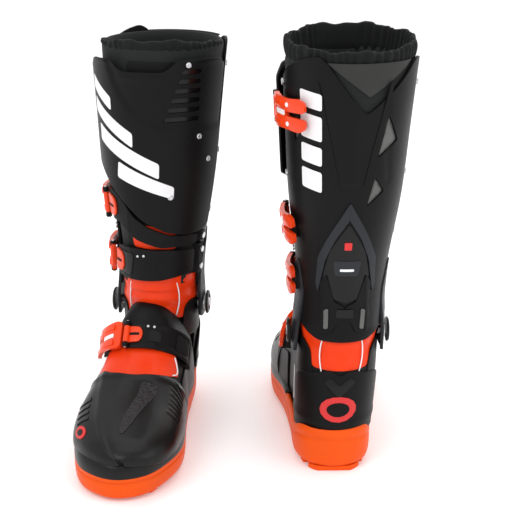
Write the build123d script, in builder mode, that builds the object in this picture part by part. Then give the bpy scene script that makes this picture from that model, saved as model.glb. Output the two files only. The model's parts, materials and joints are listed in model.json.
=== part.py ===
"""A pair of motocross riding boots: the right boot faces -Y, the left boot faces +Y.

One boot is modelled in its own frame: +X to the outer side, +Y to the toe, +Z up, with the ground at
Z 0 and the ankle hinge above the origin. The left boot is its mirror image. All sizes are millimetres.
"""
import os
from functools import lru_cache
from math import cos, radians, sin, sqrt

from build123d import *

# ---- driving dimensions -------------------------------------------------------------------------
HINGE_HEIGHT = 128.0  # ankle hinge above the ground
ANKLE_X = -8.0  # middle of the ankle, a little to the inner side of the sole's centre line
SOLE_TOP = 30.0
TOE_RIM, HEEL_RIM = 36.0, 47.0  # how high the sole cups the toe and the heel
SHELL_BOTTOM, SHELL_TOP = 134.0, 420.0
CUFF_BOTTOM, LINER_TOP, GAITER_TOP = 163.0, 418.0, 440.0
FOOT_AXIS_HEIGHT = 40.0  # where the foot is widest
REACH = 200.0  # longer than any cut needs

# height, half width, half depth, middle x, middle y of the soft leg's outline
LEG_SECTIONS = [
    (24, 37, 44, 0, -29),
    (90, 40, 52, -4.5, -15),
    (150, 41, 56, -8.5, 3),
    (206, 44, 58, -10, 2),
    (280, 54, 65, -11.5, -3),
    (445, 67, 69, -15, -3),
]
# distance ahead of the hinge, half width, top height, middle x of the soft foot's outline
FOOT_SECTIONS = [
    (-30, 37, 108, -1),
    (10, 40, 142, -4),
    (58, 42, 144, -2),
    (95, 48, 107, 0),
    (140, 54, 83, 1),
    (185, 51, 69, -1),
    (218, 35, 57, -6),
    (231, 18, 49, -8),
]
# the sole's outline, anticlockwise from the back of the heel
SOLE_OUTLINE = [
    (0, -77), (27, -67), (40, -38), (42, 10), (47, 70), (57, 130), (54, 175), (37, 217), (3, 238),
    (-29, 226), (-48, 190), (-55, 150), (-48, 90), (-43, 40), (-39, -38), (-26, -67),
]

# layers over the soft boot, each as (inner, outer) growth of its outline
LINER = (-8.0, 0.0)
SHELL = (0.4, 3.4)
OVERLAY = (3.5, 5.9)
STRAP = (4.0, 6.4)
PAD = (4.0, 7.2)
PLATE = (7.4, 10.4)
LEVER = (7.6, 12.6)
CATCH = (3.45, 6.8)
PIN_GROWTH = 9.9  # how far outside the soft boot each lever's pin lies

PIN_R, LEVER_BORE_R, BARREL_R = 1.5, 1.55, 3.2
EAR_HEIGHT = 5.0
TONGUE_GAP = 1.0  # between a lever's tongue and the ears beside it, beyond the gap at its barrel
HINGE_GAP = 0.5
ANKLE_BOLT_R, ANKLE_BORE_R = 5.0, 5.05
EAR_FACE = 42.2  # outer face of the foot's ankle ear from the ankle's middle
ARM = (42.5, 46.0)  # inner and outer face of the shell's hinge arm
ARM_TOP = 168.0
WEB_BOTTOM = 109.0  # the foot's ankle ear runs down to here

# each leg band: lowest and highest edge at the outer side, hinge y, pin y, lever end y
LOWER_BAND = dict(low=171, high=204, hinge_y=30, pin_y=30, end_y=-12)
UPPER_BAND = dict(low=229, high=262, hinge_y=30, pin_y=22, end_y=-22)
TOP_BAND = dict(low=350, high=382, hinge_y=18, pin_y=-3, end_y=-44)
UPPER_INNER_LOW, UPPER_INNER_HIGH = 207, 218  # edges of the upper strap at the inner side

# the instep band lies on an ellipse in a plane square to the instep
INSTEP_SLOPE = 46.2  # degrees down towards the toe
INSTEP_FRONT = (85.2, 115.3)  # y and z of the ellipse's front point
INSTEP_HALF_WIDTH, INSTEP_HALF_HEIGHT = 40.0, 44.0
INSTEP_BAND = 29.0  # width along the instep

# edges of the shin plate in the front view, from the lower inner corner
SHIN_OUTLINE = [
    (-100, 226), (-45, 221), (-20, 227), (5, 240), (40, 268), (62, 287), (100, 297),
    (100, 392), (40, 406), (-12, 400), (-50, 406), (-100, 392),
]
# the shell's notch and windows in the rear view
REAR_NOTCH = [(40, 440), (-26, 373), (-124, 440)]
REAR_WINDOWS = [
    [(-40, 366), (-48, 338), (-34, 326)],
    [(-33, 305), (-40, 294), (-30, 281)],
    [(4, 160), (10, 160), (9, 140), (3, 140)],
    [(-34, 160), (-28, 160), (-27, 140), (-33, 140)],
]
ACHILLES_OUTLINE = [
    (-16, 320), (-2, 298), (12, 262), (20, 215), (20, 182), (-50, 182), (-50, 215), (-42, 262),
    (-29, 300),
]
TREAD_DEPTH = 5.0
TREAD_GROOVES = [  # back and front edge of each groove across the sole
    (-95, -72), (-60, -54), (-42, -36), (-24, 130), (142, 148), (160, 166), (178, 184), (196, 202),
    (214, 250),
]
INSERT_SCREWS = [(-13, 30), (13, 30), (-13, 95), (13, 95)]

# soles of the two boots on the ground: place of each boot's origin, and its toe turned outwards
RIGHT_BOOT = dict(at=(-100.8, 46.425), turn=180.0 - 6.2)
LEFT_BOOT = dict(at=(89.7, -47.575), turn=1.5)


# ---- shared forms -------------------------------------------------------------------------------
def carve(base, keep=(), remove=()):
    """The base solid, cut down to what lies in every keep solid and outside every remove solid."""
    with BuildPart() as carved:
        add(base)
        for tool in keep:
            add(tool, mode=Mode.INTERSECT)
        for tool in remove:
            add(tool, mode=Mode.SUBTRACT)
    return carved.part


def fuse(*solids):
    """Several solids as one piece."""
    with BuildPart() as fused:
        for solid in solids:
            add(solid)
    return fused.part


def box_at(low, high):
    """A box between two corners."""
    with BuildPart() as block:
        with Locations(tuple((a + b) / 2 for a, b in zip(low, high))):
            Box(*(b - a for a, b in zip(low, high)))
    return block.part


def prism(plane, points, depth, both=False):
    """A prism over a polygon that is drawn on a plane."""
    with BuildPart() as block:
        with BuildSketch(plane):
            with BuildLine():
                Polyline(*points, close=True)
            make_face()
        extrude(amount=depth, both=both)
    return block.part


def side_prism(points):
    """A prism across the whole boot, drawn as (y, z) in the side view."""
    return prism(Plane.YZ, points, REACH, both=True)


def rear_prism(points, back=-REACH, front=0.0):
    """A prism along the boot between two y, drawn as (x, z)."""
    drawn = Plane(origin=(0, back, 0), x_dir=(1, 0, 0), z_dir=(0, -1, 0))
    return prism(drawn, points, back - front)


def rod(start, direction, length, radius):
    """A cylinder from a point along a direction."""
    with BuildPart() as cylinder:
        with BuildSketch(Plane(origin=start, z_dir=direction)):
            Circle(radius)
        extrude(amount=length)
    return cylinder.part


@lru_cache(maxsize=None)
def leg_form(growth, low=SOLE_TOP, high=GAITER_TOP):
    """The leg's outline grown all round, as a solid between two heights."""
    with BuildPart() as form:
        for height, half_width, half_depth, mid_x, mid_y in LEG_SECTIONS:
            with BuildSketch(Plane.XY.offset(height)):
                with Locations((mid_x, mid_y)):
                    Ellipse(half_width + growth, half_depth + growth)
        loft(ruled=True)
        with Locations((0, 0, (low + high) / 2)):
            Box(2 * REACH, 2 * REACH, high - low, mode=Mode.INTERSECT)
    return form.part


@lru_cache(maxsize=None)
def foot_form(growth):
    """The foot's outline grown all round, from inside the ankle to the toe."""
    with BuildPart() as form:
        for ahead, half_width, top, mid_x in FOOT_SECTIONS:
            end_growth = growth if ahead == FOOT_SECTIONS[-1][0] else 0
            with BuildSketch(Plane.XZ.offset(-ahead - end_growth)):
                with Locations((mid_x, FOOT_AXIS_HEIGHT)):
                    Ellipse(half_width + growth, top - FOOT_AXIS_HEIGHT + growth)
        loft(ruled=True)
        with Locations((0, 0, SOLE_TOP + REACH / 2)):
            Box(2 * REACH, 3 * REACH, REACH, mode=Mode.INTERSECT)
    return form.part


@lru_cache(maxsize=None)
def boot_form(growth, high=CUFF_BOTTOM):
    """Leg and foot together, up to a height."""
    return fuse(leg_form(growth, SOLE_TOP, high), foot_form(growth))


def leg_shell(layer, low, high, keep=(), remove=()):
    """A wall in one layer over the leg between two heights."""
    inside = leg_form(layer[0], low - 1, high + 1)
    return carve(leg_form(layer[1], low, high), keep, [inside, *remove])


def sole_prism(low, high):
    """A prism over the sole's outline."""
    with BuildPart() as block:
        with BuildSketch(Plane.XY.offset(low)):
            with BuildLine():
                Spline(*SOLE_OUTLINE, periodic=True)
            make_face()
        extrude(amount=high - low)
    return block.part


def leg_outline_at(height):
    """Half width, half depth, middle x and middle y of the leg's outline, straight between sections."""
    for lower, upper in zip(LEG_SECTIONS, LEG_SECTIONS[1:]):
        if lower[0] <= height <= upper[0]:
            share = (height - lower[0]) / (upper[0] - lower[0])
            return [a + share * (b - a) for a, b in zip(lower[1:], upper[1:])]
    raise ValueError(f"no leg section at {height}")


def leg_point(height, y, growth, side=1):
    """The point of the leg's grown outline at a height and y, on the outer (1) or inner (-1) side."""
    half_width, half_depth, mid_x, mid_y = leg_outline_at(height)
    share = (y - mid_y) / (half_depth + growth)
    return Vector(mid_x + side * (half_width + growth) * sqrt(1 - share**2), y, height)


# ---- foot ---------------------------------------------------------------------------------------
def insert_outline(growth, low, high):
    """The stadium-shaped block of the sole insert, grown all round."""
    with BuildPart() as block:
        with BuildSketch(Plane.XY.offset(low)):
            with Locations((0, 62)):
                SlotOverall(106 + 2 * growth, 44 + 2 * growth, rotation=90)
        extrude(amount=high - low)
    return block.part


def make_outsole():
    """The moulded rubber sole: tread bars under a base, and a rim that cups the foot."""
    rim = side_prism([
        (-95, -1), (250, -1), (250, TOE_RIM), (-25, TOE_RIM), (-50, HEEL_RIM - 5), (-66, HEEL_RIM),
        (-95, HEEL_RIM),
    ])
    recess = insert_outline(0.3, -1, 14.3)
    grooves = [box_at((-REACH, back, -1), (REACH, front, TREAD_DEPTH)) for back, front in TREAD_GROOVES]
    return carve(sole_prism(0, HEEL_RIM), [rim], [boot_form(0.2), recess, *grooves])


def make_sole_insert():
    """The replaceable insert in the waist of the sole, with counterbored screw holes."""
    with BuildPart() as insert:
        add(insert_outline(0.0, 1.5, 14.0))
        for bar_y in (23, 41, 59, 77):
            with Locations((0, bar_y + 3, 2.5)):
                Box(60, 5, 2, mode=Mode.SUBTRACT)
        with Locations(*[Location((x, y, 1.5), (180, 0, 0)) for x, y in INSERT_SCREWS]):
            CounterBoreHole(radius=2.2, counter_bore_radius=4.2, counter_bore_depth=4.5, depth=20)
    return insert.part


def make_sole_screws():
    """The screws that hold the insert, each with a hexagon socket."""
    with BuildPart() as screws:
        for x, y in INSERT_SCREWS:
            with Locations((x, y, 2.8)):
                Cylinder(3.9, 3.2, align=(Align.CENTER, Align.CENTER, Align.MIN))
                Cylinder(2.0, 11.0, align=(Align.CENTER, Align.CENTER, Align.MIN))
            with BuildSketch(Plane.XY.offset(2.7)):
                with Locations((x, y)):
                    RegularPolygon(2.0, 6)
            extrude(amount=1.9, mode=Mode.SUBTRACT)
    return screws.part


def make_footbed():
    """The insole that lies in the bottom of the foot shell."""
    return carve(boot_form(-3.6), [box_at((-REACH, -REACH, SOLE_TOP + 0.1), (REACH, 260, SOLE_TOP + 4))])


def ankle_ears(radius, inner_face, outer_face):
    """Two discs on the ankle hinge's axis, one each side."""
    discs = [
        rod((ANKLE_X + side * inner_face, 0, HINGE_HEIGHT), (side, 0, 0), outer_face - inner_face, radius)
        for side in (1, -1)
    ]
    return fuse(*discs)


def foot_top_cut():
    """What lies above the foot shell's upper edge."""
    return side_prism([
        (-100, 110), (-20, 112), (12, 116), (42, 130), (60, 137), (120, 137), (120, 260), (-100, 260),
    ])


def make_foot_shell():
    """The hard-wearing lower shell of the foot, with an ear for each ankle bolt."""
    inside = boot_form(-3.2)
    shell = carve(boot_form(0.0), remove=[inside, foot_top_cut()])
    discs = ankle_ears(15, 36, EAR_FACE)
    webs = [
        box_at((ANKLE_X + side * 39 - 3, -12, WEB_BOTTOM), (ANKLE_X + side * 39 + 3, 12, HINGE_HEIGHT))
        for side in (1, -1)
    ]
    bores = ankle_ears(ANKLE_BOLT_R, 30, 50)
    return carve(fuse(shell, discs, *webs), remove=[bores])


def make_ankle_gusset(foot_shell):
    """The soft bellows that joins the foot to the cuff and gives as the ankle bends."""
    band = side_prism([(-100, 100), (140, 100), (140, CUFF_BOTTOM - 0.2), (-100, CUFF_BOTTOM - 0.2)])
    ring = carve(boot_form(-0.1), [foot_top_cut(), band], [boot_form(-5.0), ankle_ears(15.4, 30, 50)])
    return carve(ring, remove=[foot_shell])


def make_toe_cap():
    """The moulded cap over the toe and the front of the foot."""
    outline = side_prism([
        (96, TOE_RIM + 0.3), (250, TOE_RIM + 0.3), (250, 110), (132, 110), (118, 98), (104, 80),
    ])
    return carve(foot_form(2.8), [outline], [foot_form(0.3)])


def make_heel_counter():
    """The stiff cup round the heel."""
    outline = side_prism([
        (-95, HEEL_RIM + 0.3), (-66, HEEL_RIM + 0.3), (-50, HEEL_RIM - 4.7), (-25, TOE_RIM + 0.3),
        (14, TOE_RIM + 0.3), (22, 70), (10, 104), (-40, 106), (-95, 108),
    ])
    return carve(leg_form(2.9, SOLE_TOP, 120), [outline], [boot_form(0.3)])


def make_ankle_bolts():
    """The shoulder bolts on which the cuff turns."""
    bolts = []
    for side in (1, -1):
        start = (ANKLE_X + side * 36, 0, HINGE_HEIGHT)
        shank = rod(start, (side, 0, 0), 10.3, ANKLE_BOLT_R)
        head = rod((ANKLE_X + side * 46.2, 0, HINGE_HEIGHT), (side, 0, 0), 2.0, 7.5)
        socket = rod((ANKLE_X + side * 47.0, 0, HINGE_HEIGHT), (side, 0, 0), 3.0, 2.4)
        bolts.append(carve(fuse(shank, head), remove=[socket]))
    return fuse(*bolts)


# ---- instep band --------------------------------------------------------------------------------
def instep_plane(along=0.0):
    """The plane of the instep band: its x is across the boot, its y outwards, its normal to the toe."""
    toe_way = Vector(0, cos(radians(INSTEP_SLOPE)), -sin(radians(INSTEP_SLOPE)))
    outward = Vector(0, sin(radians(INSTEP_SLOPE)), cos(radians(INSTEP_SLOPE)))
    middle = Vector(-1, *INSTEP_FRONT) - outward * INSTEP_HALF_HEIGHT + toe_way * along
    return Plane(origin=middle, x_dir=(-1, 0, 0), z_dir=toe_way)


def instep_point(angle, growth, along=0.0):
    """A point of the band's grown ellipse; 0 degrees is the outer side and 90 the front."""
    across = -(INSTEP_HALF_WIDTH + growth) * cos(radians(angle))
    outward = (INSTEP_HALF_HEIGHT + growth) * sin(radians(angle))
    return instep_plane(along).from_local_coords(Vector(across, outward, 0))


def instep_sector(layer, start, end, half_length):
    """A curved plate of the instep band between two angles."""
    with BuildPart() as plate:
        with BuildSketch(instep_plane(-half_length)):
            Ellipse(INSTEP_HALF_WIDTH + layer[1], INSTEP_HALF_HEIGHT + layer[1])
            Ellipse(INSTEP_HALF_WIDTH + layer[0], INSTEP_HALF_HEIGHT + layer[0], mode=Mode.SUBTRACT)
            with BuildLine():
                fan = [(-REACH * cos(radians(a)), REACH * sin(radians(a)))
                       for a in (start, (start + end) / 2, end)]
                Polyline((0, 0), *fan, close=True)
            make_face(mode=Mode.INTERSECT)
        extrude(amount=2 * half_length)
    return plate.part


INSTEP_PIN_ANGLE, INSTEP_HINGE_ANGLE, INSTEP_END_ANGLE = 72.0, 172.0, 12.0
INSTEP_AXIS = instep_plane().z_dir


def instep_barrel(radius, low, high):
    """A cylinder on the instep lever's pin, between two places along the band."""
    start = instep_point(INSTEP_PIN_ANGLE, PIN_GROWTH, low)
    return rod(start, INSTEP_AXIS, high - low, radius)


def make_instep_strap():
    """The strap over the instep, with two ears that hold the lever's pin."""
    half = INSTEP_BAND / 2
    strap = instep_sector(STRAP, INSTEP_PIN_ANGLE - 3, INSTEP_HINGE_ANGLE, half)
    ears = []
    for low in (-half, half - EAR_HEIGHT):
        foot_of_ear = carve(
            instep_sector((STRAP[1] - 1, PIN_GROWTH), INSTEP_PIN_ANGLE - 3, INSTEP_PIN_ANGLE + 3, half),
            [instep_barrel(12, low, low + EAR_HEIGHT)],
        )
        ears.append(fuse(foot_of_ear, instep_barrel(BARREL_R, low, low + EAR_HEIGHT)))
    return carve(fuse(strap, *ears), remove=[instep_barrel(PIN_R, -half - 1, half + 1)])


def make_instep_pin():
    """The steel pin of the instep lever."""
    return instep_barrel(PIN_R, -INSTEP_BAND / 2 - 0.8, INSTEP_BAND / 2 + 0.8)


def make_instep_lever():
    """The moulded lever that closes the instep strap."""
    half = INSTEP_BAND / 2 - EAR_HEIGHT - 0.3
    plate = instep_sector(LEVER, INSTEP_END_ANGLE, INSTEP_PIN_ANGLE - 6, INSTEP_BAND / 2)
    tongue = instep_sector((PIN_GROWTH - 2, LEVER[1]), INSTEP_PIN_ANGLE - 7, INSTEP_PIN_ANGLE, half)
    barrel = instep_barrel(BARREL_R, -half, half)
    bore = instep_barrel(LEVER_BORE_R, -REACH, REACH)
    return carve(fuse(plate, tongue, barrel), remove=[bore])


def make_instep_mounts():
    """The block that the strap is moulded to at the inner side, and the catch at the outer side."""
    half = INSTEP_BAND / 2
    soft = [boot_form(0.1), leg_form(3.0, 40, 120)]
    anchor = carve(instep_sector((-6, STRAP[1]), INSTEP_HINGE_ANGLE + 1.2, 192, half - 1), remove=soft)
    catch = carve(instep_sector((-6, CATCH[1]), 8, 32, half - 5), remove=soft)
    return fuse(anchor, catch)


# ---- cuff ---------------------------------------------------------------------------------------
def make_cuff_liner():
    """The padded inner tube of the cuff."""
    return leg_shell(LINER, CUFF_BOTTOM, LINER_TOP)


def make_gaiter():
    """The elastic collar round the top of the liner."""
    return leg_shell((-6.5, -1.0), LINER_TOP + 0.1, GAITER_TOP)


def make_calf_shell():
    """The rear shell with its notch, windows and the two arms that turn on the ankle bolts."""
    rear = side_prism([
        (-110, SHELL_BOTTOM), (14, SHELL_BOTTOM), (18, 210), (8, 260), (-2, 330), (-8, 440), (-110, 440),
    ])
    cut_outs = [rear_prism(points) for points in [REAR_NOTCH, *REAR_WINDOWS]]
    clear_of_ears = ankle_ears(17, 30, 60)
    shell = leg_shell(SHELL, SHELL_BOTTOM, SHELL_TOP, [rear], [*cut_outs, clear_of_ears])
    arms = []
    for side in (1, -1):
        inner, outer = ANKLE_X + side * ARM[0], ANKLE_X + side * ARM[1]
        x_low, x_high = min(inner, outer), max(inner, outer)
        disc = rod((inner, 0, HINGE_HEIGHT), (side, 0, 0), ARM[1] - ARM[0], 14)
        bar = box_at((x_low, -14, HINGE_HEIGHT), (x_high, 12, ARM_TOP))
        arms.append(carve(fuse(disc, bar), remove=[leg_form(0.4, 100, 200)]))
    bores = ankle_ears(ANKLE_BORE_R, 30, 60)
    return carve(fuse(shell, *arms), remove=[bores])


def make_achilles_plate():
    """The raised plate over the lower back of the shell."""
    return leg_shell(OVERLAY, 180, 322, [rear_prism(ACHILLES_OUTLINE)])


def make_inner_guard():
    """The grip panel at the inner side of the cuff, ahead of the shell's edge."""
    side = side_prism([(20, 222), (44, 222), (44, 395), (2, 395), (2, 335), (12, 262)])
    inner_half = box_at((-REACH, -REACH, 200), (ANKLE_X, REACH, 420))
    return leg_shell((0.4, 2.6), 222, 395, [side, inner_half])


def band_region(band, back_y, front_y):
    """A box over the outer side of the leg between two y, at a band's heights."""
    return box_at((ANKLE_X, back_y, band["low"]), (REACH, front_y, band["high"]))


def make_strap_mounts():
    """The catches at the outer side, and the screwed ends of the two straps at the inner side."""
    pieces = []
    for band in (LOWER_BAND, UPPER_BAND, TOP_BAND):
        region = box_at(
            (ANKLE_X, band["end_y"] - 3, band["low"] + 7), (REACH, band["end_y"] + 16, band["high"] - 7)
        )
        pieces.append(leg_shell(CATCH, band["low"], band["high"], [region]))
    lower_end = box_at((-REACH, 21, LOWER_BAND["low"]), (ANKLE_X, 30 - HINGE_GAP, LOWER_BAND["high"]))
    upper_end = box_at((-REACH, 21, UPPER_INNER_LOW), (ANKLE_X, 30 - HINGE_GAP, UPPER_INNER_HIGH))
    pieces.append(leg_shell((0.4, STRAP[1]), LOWER_BAND["low"], LOWER_BAND["high"], [lower_end]))
    pieces.append(leg_shell((0.4, STRAP[1]), UPPER_INNER_LOW, UPPER_INNER_HIGH, [upper_end]))
    return fuse(*pieces)


SIDE_SCREWS = [  # height, y, side, growth of the face that the head sits on
    (178, 25, -1, STRAP[1]), (197, 25, -1, STRAP[1]), (212.5, 25, -1, STRAP[1]),
    (392, -14, -1, SHELL[1]), (300, -6, -1, SHELL[1]), (236, 2, -1, SHELL[1]),
    (392, -14, 1, SHELL[1]), (216, 8, 1, SHELL[1]), (300, -10, 1, SHELL[1]),
]
SCREW_HEAD_R, SCREW_HEAD_HEIGHT = 3.3, 1.6


def make_cuff_screws():
    """The rivet heads that hold the shell and the straps' ends, one solid each."""
    heads = []
    for height, y, side, growth in SIDE_SCREWS:
        spot = leg_point(height, y, growth + 0.03, side)
        up = leg_point(height + 1, y, growth + 0.03, side) - spot
        ahead = leg_point(height, y + 1, growth + 0.03, side) - spot
        outward = ahead.cross(up) * side
        heads.append(rod(spot, outward, SCREW_HEAD_HEIGHT, SCREW_HEAD_R))
    return fuse(*heads)


def front_region(hinge_y, end_y):
    """Everything ahead of the hinge at the inner side and of a y at the outer side."""
    points = [(-REACH, hinge_y), (ANKLE_X, hinge_y), (ANKLE_X, end_y), (REACH, end_y), (REACH, REACH),
              (-REACH, REACH)]
    return prism(Plane.XY, points, 500)


def band_axis(band):
    """The lowest and highest point of a band's pin, which leans with the leg."""
    return [leg_point(band[edge], band["pin_y"], PIN_GROWTH) for edge in ("low", "high")]


def leg_barrel(band, radius, low, high):
    """A cylinder on a band's pin between two heights."""
    bottom, top = band_axis(band)
    per_height = (top - bottom) / (top.Z - bottom.Z)
    start = bottom + per_height * (low - bottom.Z)
    return rod(start, per_height, per_height.length * (high - low), radius)


def pin_ears(band, growth):
    """The two ears that hold a band's pin, rooted in a layer of the given growth."""
    ears = []
    for low in (band["low"], band["high"] - EAR_HEIGHT):
        high = low + EAR_HEIGHT
        region = band_region(band, band["pin_y"] - 2.5, band["pin_y"] + 3.5)
        root = leg_shell((growth, PIN_GROWTH), low, high, [region])
        ears.append(fuse(root, leg_barrel(band, BARREL_R, low, high)))
    return fuse(*ears)


def make_pin(band):
    """The steel pin of a leg lever."""
    return leg_barrel(band, PIN_R, band["low"] - 0.8, band["high"] + 0.8)


def make_lever(band):
    """A moulded lever that closes a leg band."""
    low, high = band["low"], band["high"]
    inner_low, inner_high = low + EAR_HEIGHT + 0.3, high - EAR_HEIGHT - 0.3
    plate = leg_shell(LEVER, low, high, [band_region(band, band["end_y"], band["pin_y"] - 4.2)])
    tongue_low, tongue_high = inner_low + TONGUE_GAP, inner_high - TONGUE_GAP
    tongue_box = box_at((ANKLE_X, band["pin_y"] - 5, tongue_low), (REACH, band["pin_y"], tongue_high))
    tongue = leg_shell((PIN_GROWTH - 2, LEVER[1]), tongue_low, tongue_high, [tongue_box])
    barrel = leg_barrel(band, BARREL_R, inner_low, inner_high)
    bore = leg_barrel(band, LEVER_BORE_R, 0, 500)
    return carve(fuse(plate, tongue, barrel), remove=[bore])


def make_lower_strap():
    """The strap across the lower shin."""
    band = LOWER_BAND
    region = front_region(band["hinge_y"], band["pin_y"] - 2.5)
    strap = leg_shell(STRAP, band["low"], band["high"], [region])
    return carve(fuse(strap, pin_ears(band, STRAP[1] - 1)), remove=[make_pin(band)])


def make_upper_strap():
    """The wedge-shaped strap that runs below the shin plate's edge."""
    band = UPPER_BAND
    region = front_region(band["hinge_y"], band["pin_y"] - 2.5)
    outline = rear_prism([
        (-100, UPPER_INNER_LOW), (-48, UPPER_INNER_LOW), (0, 211), (30, band["low"]), (100, band["low"]),
        (100, band["high"]), (39, band["high"]), (4, 234), (-20, 221.5), (-45, UPPER_INNER_HIGH),
        (-100, UPPER_INNER_HIGH),
    ], back=-REACH, front=REACH)
    strap = leg_shell(STRAP, UPPER_INNER_LOW, band["high"], [region, outline])
    return carve(fuse(strap, pin_ears(band, STRAP[1] - 1)), remove=[make_pin(band)])


def make_shin_plate():
    """The moulded plate over the shin, with two ears for the top lever's pin."""
    band = TOP_BAND
    outline = rear_prism(SHIN_OUTLINE, back=-REACH, front=REACH)
    region = front_region(band["hinge_y"], 5)
    plate = leg_shell(PLATE, 220, 408, [region, outline])
    ears = []
    for low in (band["low"], band["high"] - EAR_HEIGHT):
        reach_box = box_at((ANKLE_X, band["pin_y"] - 2.5, low), (REACH, 6, low + EAR_HEIGHT))
        ears.append(leg_shell(PLATE, low, low + EAR_HEIGHT, [reach_box]))
        ears.append(leg_barrel(band, BARREL_R, low, low + EAR_HEIGHT))
    return carve(fuse(plate, *ears), remove=[make_pin(band)])


def make_shin_pad():
    """The foam behind the shin plate."""
    region = front_region(32, 30)
    outline = rear_prism(
        [(-100, 285), (100, 300), (100, 392), (-100, 392)], back=-REACH, front=REACH
    )
    return leg_shell(PAD, 280, 395, [region, outline])


# ---- the pair -----------------------------------------------------------------------------------
def make_boot():
    """Every piece of one boot, by name, in the boot's own frame."""
    foot_shell = make_foot_shell()
    return {
        "outsole": make_outsole(),
        "sole_insert": make_sole_insert(),
        "sole_screws": make_sole_screws(),
        "footbed": make_footbed(),
        "foot_shell": foot_shell,
        "ankle_gusset": make_ankle_gusset(foot_shell),
        "toe_cap": make_toe_cap(),
        "heel_counter": make_heel_counter(),
        "ankle_bolts": make_ankle_bolts(),
        "instep_mounts": make_instep_mounts(),
        "instep_strap": make_instep_strap(),
        "instep_pin": make_instep_pin(),
        "instep_lever": make_instep_lever(),
        "cuff_liner": make_cuff_liner(),
        "gaiter": make_gaiter(),
        "calf_shell": make_calf_shell(),
        "achilles_plate": make_achilles_plate(),
        "inner_guard": make_inner_guard(),
        "strap_mounts": make_strap_mounts(),
        "cuff_screws": make_cuff_screws(),
        "lower_strap": make_lower_strap(),
        "lower_pin": make_pin(LOWER_BAND),
        "lower_lever": make_lever(LOWER_BAND),
        "upper_strap": make_upper_strap(),
        "upper_pin": make_pin(UPPER_BAND),
        "upper_lever": make_lever(UPPER_BAND),
        "shin_plate": make_shin_plate(),
        "shin_pad": make_shin_pad(),
        "top_pin": make_pin(TOP_BAND),
        "top_lever": make_lever(TOP_BAND),
    }


def hinge_axes():
    """Each hinge of one boot as (point, direction), positive opening or bending forwards."""
    plate_low = leg_point(230, TOP_BAND["hinge_y"], PLATE[1] + 0.3, side=-1)
    plate_high = leg_point(395, TOP_BAND["hinge_y"], PLATE[1] + 0.3, side=-1)
    axes = {
        "ankle": (Vector(ANKLE_X, 0, HINGE_HEIGHT), Vector(-1, 0, 0)),
        "shin_plate": (plate_low, (plate_high - plate_low).normalized()),
        "instep_strap": (instep_point(INSTEP_HINGE_ANGLE + 0.6, STRAP[1] + 0.2), -INSTEP_AXIS),
        "instep_lever": (instep_point(INSTEP_PIN_ANGLE, PIN_GROWTH), -INSTEP_AXIS),
    }
    strap_hinges = [
        ("lower", LOWER_BAND["high"], LOWER_BAND["hinge_y"]),
        ("upper", UPPER_INNER_HIGH, UPPER_BAND["hinge_y"]),
    ]
    for name, high, hinge_y in strap_hinges:
        edge = leg_point(high, hinge_y - HINGE_GAP / 2, STRAP[1] + 0.2, side=-1)
        axes[f"{name}_strap"] = (edge, Vector(0, 0, 1))
    for name, band in (("lower", LOWER_BAND), ("upper", UPPER_BAND), ("top", TOP_BAND)):
        bottom, top = band_axis(band)
        axes[f"{name}_lever"] = ((bottom + top) / 2, (top - bottom).normalized())
    return axes


def place(shape, side):
    """A piece of the boot moved to where it lies in the pair; the left boot's pieces are mirrored."""
    spot = RIGHT_BOOT if side == "right" else LEFT_BOOT
    whole = shape if side == "right" else shape.mirror(Plane.YZ)
    return whole.moved(Location((*spot["at"], 0), (0, 0, spot["turn"])))


def place_axis(point, direction, side):
    """A hinge in the pair; a mirrored hinge keeps its sense by turning its axis round."""
    spot = RIGHT_BOOT if side == "right" else LEFT_BOOT
    if side == "left":
        point = Vector(-point.X, point.Y, point.Z)
        direction = Vector(direction.X, -direction.Y, -direction.Z)
    at = point.rotate(Axis.Z, spot["turn"]) + Vector(*spot["at"], 0)
    return at, direction.rotate(Axis.Z, spot["turn"])


os.makedirs("parts", exist_ok=True)
for piece_name, piece in make_boot().items():
    for side in ("right", "left"):
        node = place(piece, side)
        node.label = f"{side}_{piece_name}"
        export_step(node, f"parts/{node.label}.step")

for hinge_name, hinge in hinge_axes().items():
    for side in ("right", "left"):
        at, direction = place_axis(*hinge, side)
        print(side, hinge_name, "hinge at", at, "along", direction)
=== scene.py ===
import json
import math

import bpy
from mathutils import Matrix, Vector, geometry


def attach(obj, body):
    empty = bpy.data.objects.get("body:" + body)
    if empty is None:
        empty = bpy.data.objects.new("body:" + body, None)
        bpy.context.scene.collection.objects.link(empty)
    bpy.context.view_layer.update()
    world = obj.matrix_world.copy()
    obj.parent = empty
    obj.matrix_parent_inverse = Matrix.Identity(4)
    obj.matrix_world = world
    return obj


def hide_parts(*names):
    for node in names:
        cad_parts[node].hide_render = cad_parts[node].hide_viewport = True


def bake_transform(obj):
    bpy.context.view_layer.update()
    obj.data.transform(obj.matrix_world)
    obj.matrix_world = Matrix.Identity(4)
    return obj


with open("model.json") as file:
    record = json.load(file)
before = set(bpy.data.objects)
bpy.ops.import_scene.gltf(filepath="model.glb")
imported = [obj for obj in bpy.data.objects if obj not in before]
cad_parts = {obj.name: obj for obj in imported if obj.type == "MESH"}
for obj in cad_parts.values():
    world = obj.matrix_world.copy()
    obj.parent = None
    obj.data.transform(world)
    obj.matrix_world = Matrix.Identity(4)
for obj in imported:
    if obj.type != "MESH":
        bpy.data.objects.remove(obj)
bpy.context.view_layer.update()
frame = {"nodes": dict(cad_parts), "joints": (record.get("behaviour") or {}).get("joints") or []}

MM = 0.001
SIDES = ("right", "left")
HINGE_HEIGHT, ANKLE_X = 128.0, -8.0  # the ankle hinge in a boot's own frame
JOINTS = {joint["name"]: joint for joint in frame["joints"]}

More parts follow.
